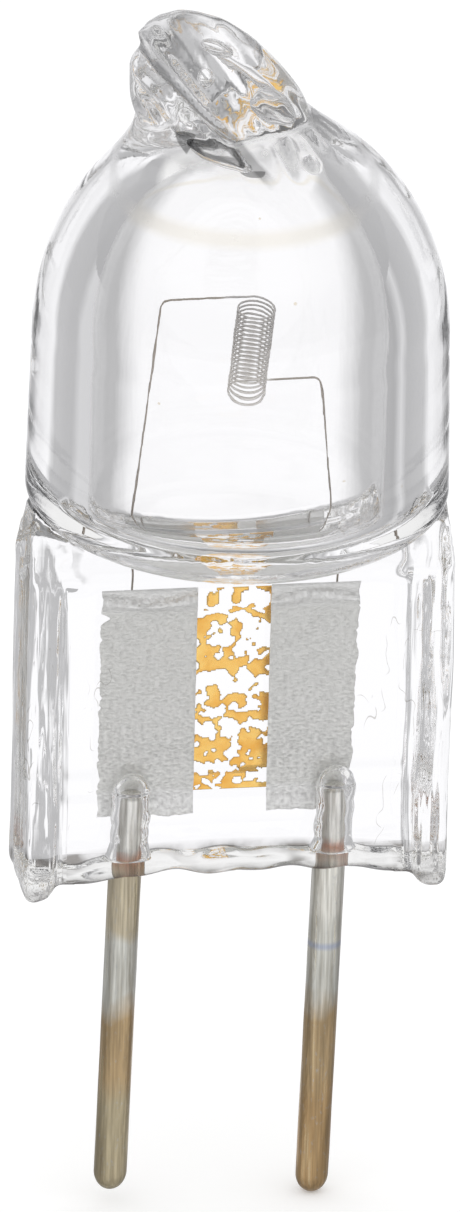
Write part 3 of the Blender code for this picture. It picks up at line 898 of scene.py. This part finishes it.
def build_filament():
    """One wire: up the left leg, down the coil's turns, and down the right leg, its ends behind the foils."""
    coil = coil_points()
    low, high = FOIL_BOXES["left_foil"]
    weld = (low.y + high.y) / 2 + LEG_BEHIND
    legs = []
    for sign, inset, join in ((-1, LEFT_BEND_INSET, coil[0]), (1, RIGHT_BEND_INSET, coil[-1])):
        x = sign * LEG_REACH
        corners = (
            (x, weld, WIRE_FOOT),
            (x, weld, high.z),
            (x, LEG_PLANE, high.z + LEG_SLIP),
            (x, LEG_PLANE, LEG_CORNER),
            (x - sign * inset, join.y, join.z),
            join,
        )
        legs.append(rounded_path([Vector(corner) for corner in corners]))
    points = legs[0] + coil[1:-1] + legs[1][::-1]
    curve = bpy.data.curves.new("filament_wire", "CURVE")
    curve.dimensions = "3D"
    curve.bevel_depth = WIRE_RADIUS * MM
    curve.bevel_resolution = WIRE_BEVEL
    curve.use_fill_caps = True
    spline = curve.splines.new("POLY")
    spline.points.add(len(points) - 1)
    for spot, point in zip(spline.points, points):
        spot.co = (*(point * MM), 1.0)
    wire = link("filament_wire", curve)
    curve.materials.append(tungsten_material())
    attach(wire, "root")
    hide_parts("filament")


def bell(place, middle, half):
    return math.exp(-(((place - middle) / half) ** 2))


def uneven(pattern, *place):
    """Smooth noise of a pattern's size, with its waves along the three numbers of a place."""
    size, waves = pattern
    return size * noise.noise(Vector([number * wave for number, wave in zip(place, waves)]))


def foil_edges(sign, place):
    """How far the long edges of a foil are drawn in at a place: the outer one is ragged, the inner clean."""
    ragged = RAGGED_EDGE + uneven(RAGGED_BROAD, sign, 1, place)
    ragged += max(0.0, uneven(RAGGED_FINE, sign, 1, place))
    if sign < 0:
        depth, middle, half = LEFT_NICK
        ragged += depth * bell(place, middle, half)
    else:
        ragged += RIGHT_INSET + RIGHT_TAPER * (1 - place)
    return ragged, CLEAN_EDGE + uneven(CLEAN_WAVE, sign, 1, place)


def foil_tear(sign, across):
    """How far the lower end of a foil is torn away."""
    fine = max(0.0, uneven(TORN_FINE, across, sign, 1))
    return max(0.0, TORN_END + uneven(TORN_BROAD, across, sign, 1) + fine)


def foil_relief(across, height, place):
    """Creases of the pressed foil: a soft fold near its top and fine wrinkles lower down."""
    wander, waves = FOLD_WANDER
    fold = FOLD_DEPTH * bell(place + wander * math.sin(waves * across), FOLD_PLACE, FOLD_LENGTH)
    fine = uneven(WRINKLE, across, 1, height) * (1.0 - WRINKLE_LOSS * place)
    return fold + fine + uneven(BUCKLE, across, 1, height)


def build_foil(node, sign):
    """A thin closed sheet whose front and back meet at its edges."""
    low, high = FOIL_BOXES[node]
    plane = (low.y + high.y) / 2
    bm = bmesh.new()
    front = []
    back = []
    for row in range(FOIL_ROWS + 1):
        place = row / FOIL_ROWS
        level = low.z + (high.z - low.z) * place
        ragged, clean = foil_edges(sign, place)
        start, end = (low.x + ragged, high.x - clean) if sign < 0 else (low.x + clean, high.x - ragged)
        front.append([])
        back.append([])
        for column in range(FOIL_COLUMNS + 1):
            across = start + (end - start) * column / FOIL_COLUMNS
            height = level + foil_tear(sign, across) * (1 - place) ** TORN_FALLOFF
            depth = plane + foil_relief(across, height, place)
            if row in (0, FOIL_ROWS) or column in (0, FOIL_COLUMNS):
                shared = bm.verts.new((across, depth, height))
                front[-1].append(shared)
                back[-1].append(shared)
            else:
                front[-1].append(bm.verts.new((across, depth - FOIL_HALF_THICKNESS, height)))
                back[-1].append(bm.verts.new((across, depth + FOIL_HALF_THICKNESS, height)))
    for layer, flip in ((front, False), (back, True)):
        for lower, upper in zip(layer, layer[1:]):
            for a, b, c, d in zip(lower, lower[1:], upper[1:], upper):
                bm.faces.new((d, c, b, a) if flip else (a, b, c, d))
    foil = link(f"{node}_sheet", mesh_from(node, bm))
    foil.data.set_sharp_from_angle(angle=FOIL_SHARP_ANGLE)
    foil.data.materials.append(foil_material(high.z))
    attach(foil, "root")
    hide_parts(node)


def build_pin(node):
    """A drawn pin with a worn bullet nose and fine unevenness along its length."""
    radius = pin_axis(node)[0]
    low, high = PIN_BOXES[node]
    nose_top = low.z + PIN_NOSE
    nose = quarter(radius, nose_top, -PIN_NOSE, PIN_NOSE_STEPS)
    crown = quarter(radius, high.z - PIN_CROWN, PIN_CROWN, PIN_CROWN_STEPS)
    heights = np.arange(nose_top + PIN_STEP, high.z - PIN_SHANK_MARGIN, PIN_STEP)
    bm = bmesh.new()
    turned(bm, nose + [(radius, z) for z in heights] + crown[::-1], PIN_SEGMENTS)
    lean_pin(bm, node, PIN_WAVES, lambda wobble, height: -(PIN_WEAR + PIN_UNEVEN * wobble))
    pin = link(f"{node}_shank", mesh_from(node, bm))
    pin.data.materials.append(pin_material(node))
    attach(pin, "root")
    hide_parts(node)


def ink_cover(x, z):
    """How much ink is left at a place of the stamped mark: plain bars, worn to blotches."""
    share = (z - INK_BOTTOM) / (INK_TOP - INK_BOTTOM)
    from_bar = abs((share * INK_BARS + INK_BAR_SHIFT) % 1.0 - 0.5) * 2
    from_middle = abs((x - INK_LEFT) / (INK_RIGHT - INK_LEFT) - 0.5) * 2
    along = z + INK_TURN * x
    aside = x - INK_TURN * z
    wear = sum(uneven(pattern, aside, 1, along) for pattern in INK_PATTERNS)
    cover = min(INK_BAR_COVER * (1 - from_bar), INK_EDGE_COVER * (1 - from_middle))
    return cover + INK_WEAR * wear - INK_LOSS - INK_GAP_LOSS * bell(share, INK_GAP_PLACE, INK_GAP_HALF)


def build_ink():
    """Thin flakes of a plain worn stamp, fused onto the back of the pinch."""
    bm = bmesh.new()
    grid = {}

    def corner(column, row):
        if (column, row) not in grid:
            x = INK_LEFT + column * INK_CELL
            z = INK_BOTTOM + row * INK_CELL
            step = (BAND_HALF - PAD_HALF) * float(fade(z, PAD_BOTTOM, PAD_BOTTOM - STEP_SLOPE))
            grid[column, row] = bm.verts.new((x, PAD_HALF + step, z))
        return grid[column, row]

    for column in range(int((INK_RIGHT - INK_LEFT) / INK_CELL)):
        for row in range(int((INK_TOP - INK_BOTTOM) / INK_CELL)):
            x = INK_LEFT + (column + 0.5) * INK_CELL
            z = INK_BOTTOM + (row + 0.5) * INK_CELL
            if ink_cover(x, z) > 0:
                steps = ((0, 0), (1, 0), (1, 1), (0, 1))
                bm.faces.new([corner(column + a, row + b) for a, b in steps])
    bmesh.ops.recalc_face_normals(bm, faces=bm.faces)
    bmesh.ops.solidify(bm, geom=bm.faces[:], thickness=INK_THICKNESS)
    front = min(vert.co.y for vert in bm.verts)
    bmesh.ops.translate(bm, verts=bm.verts, vec=(0.0, PAD_HALF - INK_SINK - front, 0.0))
    bmesh.ops.recalc_face_normals(bm, faces=bm.faces)
    ink = link("stamp_ink", mesh_from("stamp_ink", bm))
    ink.data.materials.append(ink_material())
    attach(ink, "root")


def is_socket(value):
    return isinstance(value, bpy.types.NodeSocket)


def feed(tree, node, sockets):
    """Sets a node's inputs to values, or links them from other nodes' outputs."""
    for key, value in sockets.items():
        if is_socket(value):
            tree.links.new(value, node.inputs[key])
        else:
            node.inputs[key].default_value = value


def add(tree, kind, sockets=None, **settings):
    """A shader node with its settings and inputs."""
    made = tree.nodes.new(f"ShaderNode{kind}")
    for name, value in settings.items():
        setattr(made, name, value)
    feed(tree, made, sockets or {})
    return made


def math_node(operation, *values):
    """An operation on values and sockets, in the tree that its first socket belongs to."""
    tree = next(value.id_data for value in values if is_socket(value))
    return add(tree, "Math", dict(enumerate(values)), operation=operation).outputs[0]


def product(first, *others):
    for other in others:
        first = math_node("MULTIPLY", first, other)
    return first


def distance_from(value, middle):
    return math_node("ABSOLUTE", math_node("SUBTRACT", value, middle))


def length_node(*sides):
    """Length of a vector from two of its sides."""
    tree = sides[0].id_data
    whole = add(tree, "CombineXYZ", dict(zip("XY", sides))).outputs[0]
    return add(tree, "VectorMath", {0: whole}, operation="LENGTH").outputs["Value"]


def millimetres(tree, stretch=(1.0, 1.0, 1.0)):
    """Object coordinates in millimetres, stretched for a pattern."""
    place = add(tree, "TexCoord").outputs["Object"]
    return add(tree, "Mapping", {"Vector": place, "Scale": Vector(stretch) / MM}).outputs[0]


def split_millimetres(tree):
    return add(tree, "SeparateXYZ", {0: millimetres(tree)}).outputs


def noise_node(tree, pattern):
    stretch, scale, detail = pattern
    sockets = {"Vector": millimetres(tree, stretch), "Scale": scale, "Detail": detail}
    return add(tree, "TexNoise", sockets).outputs["Fac"]


def ramp_node(factor, stops):
    """A colour ramp through a list of places and colours, in order."""
    made = add(factor.id_data, "ValToRGB", {"Fac": factor})
    elements = made.color_ramp.elements
    for index, (place, colour) in ((0, stops[0]), (1, stops[-1])):
        elements[index].position = place
        elements[index].color = (*colour, 1.0)
    for place, colour in stops[1:-1]:
        elements.new(place).color = (*colour, 1.0)
    return made.outputs["Color"]


def mix_node(factor, first, second):
    """A mix of two colours."""
    first, second = [value if is_socket(value) else (*value, 1.0) for value in (first, second)]
    return add(factor.id_data, "Mix", {0: factor, 6: first, 7: second}, data_type="RGBA").outputs[2]


def range_node(value, source, target=(0.0, 1.0)):
    """A value carried from one range of numbers to another, and held at its ends."""
    names = ("Value", "From Min", "From Max", "To Min", "To Max")
    return add(value.id_data, "MapRange", dict(zip(names, (value, *source, *target)))).outputs["Result"]


def shaded(colour, shade):
    return add(shade.id_data, "VectorMath", {0: colour, "Scale": shade}, operation="SCALE").outputs[0]


def bump_node(height, strength, distance):
    sockets = {"Height": height, "Strength": strength, "Distance": distance}
    return add(height.id_data, "Bump", sockets).outputs[0]


def surface(name, metallic=0.0):
    """A new material with its tree and its Principled shader."""
    made = bpy.data.materials.new(name)
    made.use_nodes = True
    shader = made.node_tree.nodes["Principled BSDF"]
    shader.inputs["Metallic"].default_value = metallic
    return made, made.node_tree, shader


def speck_mask(tree):
    """Rare small specks in the glass."""
    sockets = {"Vector": millimetres(tree), "Scale": SPECK_SCALE, "Randomness": 1.0}
    cells = add(tree, "TexVoronoi", sockets).outputs
    speck = range_node(cells["Distance"], SPECK_RADII, (1.0, 0.0))
    return product(speck, math_node("GREATER_THAN", cells["Color"], SPECK_RARITY))


def collar_mask(split):
    """Soft ring where the exhaust tube was fused into the dome."""
    aside = math_node("SUBTRACT", length_node(split["X"], split["Y"]), COLLAR_RADIUS)
    above = math_node("SUBTRACT", split["Z"], COLLAR_HEIGHT)
    return range_node(length_node(aside, above), (COLLAR_HALF, 0.3 * COLLAR_HALF))


def frost_mask(split):
    """Matt skin inside the closed bore, where the tube's wall was melted shut."""
    radius = length_node(split["X"], split["Y"])
    inner = range_node(radius, (FROST_RADIUS, FROST_RADIUS - FROST_EDGE), (0.0, FROST_ROUGHNESS))
    above = math_node("GREATER_THAN", split["Z"], FROST_BOTTOM)
    below = math_node("LESS_THAN", split["Z"], FROST_TOP)
    return product(inner, product(above, below))


def turned_place(tree, centre, slant):
    """Millimetres from a centre, along the axes of a drop that slants down towards +X."""
    back = add(tree, "VectorMath", {0: millimetres(tree), 1: Vector(centre)}, operation="SUBTRACT")
    turn = add(tree, "VectorRotate", {"Vector": back.outputs[0], "Angle": -slant}, rotation_type="Y_AXIS")
    return add(tree, "SeparateXYZ", {0: turn.outputs[0]}).outputs


def groove_shade_mask(tree):
    """Painted shade: grey in the crease round the melted drop, fading out on its low side."""
    place = turned_place(tree, GROOVE_CENTRE, GROOVE_SLANT)
    level = math_node("MULTIPLY_ADD", noise_node(tree, GROOVE_SHADE_EDGE), GROOVE_SHADE_WANDER, place["Z"])
    away = distance_from(level, GROOVE_SHADE_LIFT)
    groove = range_node(away, (GROOVE_SHADE_HALF, 0.5 * GROOVE_SHADE_HALF), (0.0, GROOVE_SHADE_STRENGTH))
    return product(groove, range_node(place["X"], GROOVE_SHADE_END, (1.0, 0.0)))


def lens_shade_mask(tree):
    """Painted shade: grey round the rim of the flat lens of air."""
    place = turned_place(tree, LENS_CENTRE, math.radians(LENS_SLANT))
    across = math_node("DIVIDE", place["X"], LENS_HALF[0])
    upward = math_node("DIVIDE", place["Z"], LENS_HALF[2])
    size = length_node(across, upward)
    depth = math_node("ABSOLUTE", place["Y"])
    shallow = math_node("LESS_THAN", depth, LENS_DEPTH)
    inside = math_node("LESS_THAN", size, LENS_OUTSIDE)
    return product(range_node(size, LENS_SHADE_RIM), shallow, inside)


def pinch_shade_mask(tree, split):
    """Painted shade: grey along the lower edges of the pinch, uneven and thin."""
    arch = product(math_node("POWER", split["X"], 2.0), ARCH_RISE / PINCH_HALF**2)
    height = math_node("ADD", split["Z"], arch)
    low = range_node(height, (PINCH_SHADE_HEIGHT, 0.2 * PINCH_SHADE_HEIGHT))
    outer = range_node(math_node("ABSOLUTE", split["Y"]), PINCH_SHADE_DEPTHS)
    patchy = range_node(noise_node(tree, PINCH_SHADE_PATCHES), PINCH_SHADE_PATCH_RANGE, (PINCH_SHADE_LEAST, 1.0))
    return product(low, outer, patchy)


def hairline_mask(tree, split):
    """Short curved scratches on the pressed pads."""
    path = distance_from(noise_node(tree, HAIRLINE_PATHS), 0.5)
    line = range_node(path, HAIRLINE_WIDTHS)
    places = range_node(noise_node(tree, HAIRLINE_PLACES), HAIRLINE_PLACE_RANGE)
    aside = range_node(math_node("ABSOLUTE", split["X"]), HAIRLINE_ASIDE)
    low = math_node("LESS_THAN", split["Z"], PAD_TOP)
    return product(product(line, places), product(aside, low))


def glass_relief(tree, split):
    """Height of the drawing lines, and of the coarser lines of the ribs and the foot."""
    across = math_node("ABSOLUTE", split["X"])
    rib_across = range_node(across, RIB_LINE_ACROSS)
    at_rib = product(rib_across, range_node(split["Z"], RIB_LINE_HEIGHTS))
    at_foot = range_node(split["Z"], FOOT_WAVE_HEIGHTS)
    drawn = product(at_rib, noise_node(tree, RIB_LINES))
    wavy = product(at_foot, noise_node(tree, FOOT_WAVES))
    coarse = product(math_node("ADD", drawn, wavy), CREASE_RELIEF)
    return math_node("MULTIPLY_ADD", noise_node(tree, GLASS_LINES), LINE_RELIEF, coarse)


def glass_material():
    """Clear fused quartz with faint drawing lines, a little dust and rare brown specks, and painted grey
    shade in the tip's crease, round the air lens and along the pinch's lower edges.
    """
    made, tree, shader = surface("fused quartz")
    shader.inputs["Transmission Weight"].default_value = 1.0
    shader.inputs["IOR"].default_value = QUARTZ_IOR
    split = split_millimetres(tree)
    collar = collar_mask(split)
    tints = (
        (speck_mask(tree), SPECK_TINT),
        (collar, COLLAR_TINT),
        # Painted shade in the tip's crease and round the air lens
        (math_node("MAXIMUM", groove_shade_mask(tree), lens_shade_mask(tree)), PAINTED_SHADE_TINT),
        # Painted shade along the pinch's lower edges
        (pinch_shade_mask(tree, split), PINCH_SHADE_TINT),
        (hairline_mask(tree, split), HAIRLINE_TINT),
    )
    colour = QUARTZ
    for mask, tint in tints:
        colour = mix_node(mask, colour, tint)
    dusty = range_node(noise_node(tree, GLASS_DUST), DUST_RANGE, (0.0, DUST_ROUGHNESS))
    soft = math_node("MAXIMUM", product(collar, COLLAR_ROUGHNESS), frost_mask(split))
    rough = math_node("ADD", soft, dusty)
    relief = bump_node(glass_relief(tree, split), 1.0, MM)
    feed(tree, shader, {"Base Color": colour, "Roughness": rough, "Normal": relief})
    return made


def tungsten_material():
    """Drawn wire, darker at the top of the coil and paler below, with darker legs and stains."""
    made, tree, shader = surface("tungsten", 1.0)
    split = split_millimetres(tree)
    level = range_node(split["Z"], COIL_TONE_HEIGHTS)
    tone = ramp_node(level, [(0.0, COIL_FOOT_TONE), (1.0, COIL_TOP_TONE)])
    in_leg = range_node(distance_from(split["X"], COIL_CENTRE.x), LEG_ASIDE)
    tone = mix_node(in_leg, tone, LEG_TONE)
    stain = noise_node(tree, WIRE_STAIN)
    stained = mix_node(product(stain, STAIN_STRENGTH), tone, STAIN_TONE)
    rough = range_node(stain, MIDDLE_OF_NOISE, WIRE_ROUGHNESS)
    feed(tree, shader, {"Base Color": stained, "Roughness": rough})
    return made


def foil_material(top):
    """Satin molybdenum with rolled streaks, a paler strip at each end and fine sparkle."""
    made, tree, shader = surface("molybdenum foil", 1.0)
    level = range_node(split_millimetres(tree)["Z"], (top - FOIL_LENGTH, top))
    tone = ramp_node(level, FOIL_BANDS)
    grain = range_node(noise_node(tree, FOIL_STREAKS), MIDDLE_OF_NOISE, FOIL_GRAIN)
    sparkle = noise_node(tree, FOIL_SPARKLE)
    crinkled = range_node(level, FOIL_CRINKLED)
    glint = product(crinkled, range_node(sparkle, MIDDLE_OF_NOISE, FOIL_GLINT))
    shade = math_node("ADD", math_node("ADD", grain, glint), 1.0)
    rough = range_node(sparkle, FOIL_ROUGH_RANGE, FOIL_ROUGHNESS)
    relief = bump_node(sparkle, *FOIL_BUMP)
    feed(tree, shader, {"Base Color": shaded(tone, shade), "Roughness": rough, "Normal": relief})
    return made


def pin_tone(node, height):
    """Bands of tone along a pin by their heights in millimetres, from its end up into the glass."""
    low, high = PIN_BOXES[node]
    end, neck, _ = PIN_TONES[node]
    bands = (
        (low.z, end),
        (-5.3, end),
        (-4.7, TAN),
        (-3.4, TAN),
        (-2.9, SILVER),
        (-1.7, SILVER),
        (-1.4, neck),
        (-0.2, neck),
        (0.25, COPPER),
        (0.5, SEATED),
        (high.z, SEATED_END),
    )
    level = range_node(height, (low.z, high.z))
    return ramp_node(level, [((z - low.z) / (high.z - low.z), colour) for z, colour in bands])


def pin_material(node):
    """Plated pin: silver, brassy near the glass, coppery inside it, and heat-tinted tan towards its end."""
    made, tree, shader = surface(f"{node} plating", 1.0)
    along = split_millimetres(tree)["Z"]
    height = math_node("MULTIPLY_ADD", noise_node(tree, PIN_DRIFT), BAND_DRIFT, along)
    tone = pin_tone(node, math_node("SUBTRACT", height, BAND_DRIFT / 2))
    for pattern, span, strength, tint in PIN_TINTS:
        tone = mix_node(range_node(noise_node(tree, pattern), span, (0.0, strength)), tone, tint)
    from_ring = distance_from(along, RING_HEIGHT)
    ring_strength = PIN_TONES[node][2]
    tone = mix_node(range_node(from_ring, RING_HALVES, (0.0, ring_strength)), tone, RING_TINT)
    shade = range_node(noise_node(tree, PIN_SCRATCHES), MIDDLE_OF_NOISE, SCRATCH_SHADE)
    streaks = noise_node(tree, PIN_STREAKS)
    rough = range_node(streaks, MIDDLE_OF_NOISE, PIN_ROUGHNESS)
    relief = bump_node(math_node("ADD", streaks, noise_node(tree, PIN_PITS)), *PIN_BUMP)
    feed(tree, shader, {"Base Color": shaded(tone, shade), "Roughness": rough, "Normal": relief})
    return made


def ink_material():
    """Orange stamping ink, thin and paler where it is worn."""
    made, tree, shader = surface("stamping ink", 1.0)
    shader.inputs["Specular Tint"].default_value = INK_EDGE_TINT
    patches = noise_node(tree, INK_PATCHES)
    rough = range_node(patches, MIDDLE_OF_NOISE, INK_ROUGHNESS)
    feed(tree, shader, {"Base Color": ramp_node(patches, INK_BANDS), "Roughness": rough})
    return made


def build_camera():
    camera = bpy.data.cameras.new("camera")
    camera.lens = camera.sensor_width * CAMERA_DISTANCE * PIXELS_PER_MM / IMAGE_HEIGHT
    camera.clip_start, camera.clip_end = CLIP_METRES
    obj = link("camera", camera)
    flat = math.cos(CAMERA_ELEVATION)
    away = Vector((-math.sin(CAMERA_YAW) * flat, -math.cos(CAMERA_YAW) * flat, math.sin(CAMERA_ELEVATION)))
    obj.location = (LOOK_AT + away * CAMERA_DISTANCE) * MM
    turn = away.to_track_quat("Z", "Y").to_matrix() @ Matrix.Rotation(CAMERA_ROLL, 3, "Z")
    obj.rotation_euler = turn.to_euler()
    bpy.context.scene.camera = obj


def seen_in_glass(path):
    """One for rays that reflect off or pass through the object, and zero for the rest."""
    return math_node("MAXIMUM", path["Is Glossy Ray"], path["Is Transmission Ray"])


def floor_glow(tree, path):
    """Pale and grey sectors round the object, darker near the pins for rays through the glass, as a painted
    shadow.
    """
    place = add(tree, "NewGeometry").outputs["Position"]
    split = add(tree, "SeparateXYZ", {0: place}).outputs
    heading = math_node("ARCTAN2", split["X"], split["Y"])
    turn = range_node(heading, (-math.pi, math.pi))
    cards = [((angle + 180) / 360, (tone, tone, tone * CARD_BLUE)) for angle, tone in BACKDROP]
    near, far, dim = FLOOR_PAINTED_SHADOW
    apart = add(tree, "VectorMath", {0: place}, operation="LENGTH").outputs["Value"]
    shade = range_node(apart, (near * MM, far * MM), (dim, 1.0))
    loss = product(path["Is Transmission Ray"], math_node("SUBTRACT", 1.0, shade))
    sockets = {"Color": ramp_node(turn, cards), "Strength": math_node("SUBTRACT", 1.0, loss)}
    return add(tree, "Emission", sockets).outputs[0]


def floor_material():
    """White floor that keeps the shadow, and glows in sectors for metal and glass."""
    made = bpy.data.materials.new("studio floor")
    made.use_nodes = True
    tree = made.node_tree
    tree.nodes.clear()
    path = add(tree, "LightPath").outputs
    paper = add(tree, "BsdfDiffuse", {"Color": FLOOR_PAPER})
    lift = add(tree, "Emission", {"Strength": product(path["Is Camera Ray"], FLOOR_LIFT)})
    lifted = add(tree, "AddShader", {0: paper.outputs[0], 1: lift.outputs[0]})
    sockets = {0: seen_in_glass(path), 1: lifted.outputs[0], 2: floor_glow(tree, path)}
    add(tree, "OutputMaterial", {"Surface": add(tree, "MixShader", sockets).outputs[0]})
    return made


def build_floor():
    bm = bmesh.new()
    height = min(low.z for low, high in PIN_BOXES.values())
    bm.faces.new([bm.verts.new(point) for point in circle(STAGE_RADIUS, height, STAGE_SEGMENTS)])
    floor = link("floor", mesh_from("floor", bm))
    floor.data.materials.append(floor_material())


def build_sky():
    """White light all round, which metal and glass see greyer near the horizon."""
    world = bpy.data.worlds.new("studio")
    bpy.context.scene.world = world
    world.use_nodes = True
    tree = world.node_tree
    rise = add(tree, "SeparateXYZ", {0: add(tree, "TexCoord").outputs["Generated"]}).outputs["Z"]
    in_glass = seen_in_glass(add(tree, "LightPath").outputs)
    colour = mix_node(in_glass, (1.0, 1.0, 1.0), ramp_node(rise, SKY_BANDS))
    feed(tree, tree.nodes["Background"], {"Color": colour})


def main():
    scene = bpy.context.scene
    scene.view_settings.view_transform = "Standard"
    scene.cycles.max_bounces = GLASS_BOUNCES
    scene.cycles.transmission_bounces = GLASS_BOUNCES
    scene.cycles.glossy_bounces = GLASS_BOUNCES
    build_glass()
    build_filament()
    for node, sign in (("left_foil", -1), ("right_foil", 1)):
        build_foil(node, sign)
    for node in PIN_BOXES:
        build_pin(node)
    build_ink()
    build_camera()
    build_floor()
    build_sky()


main()
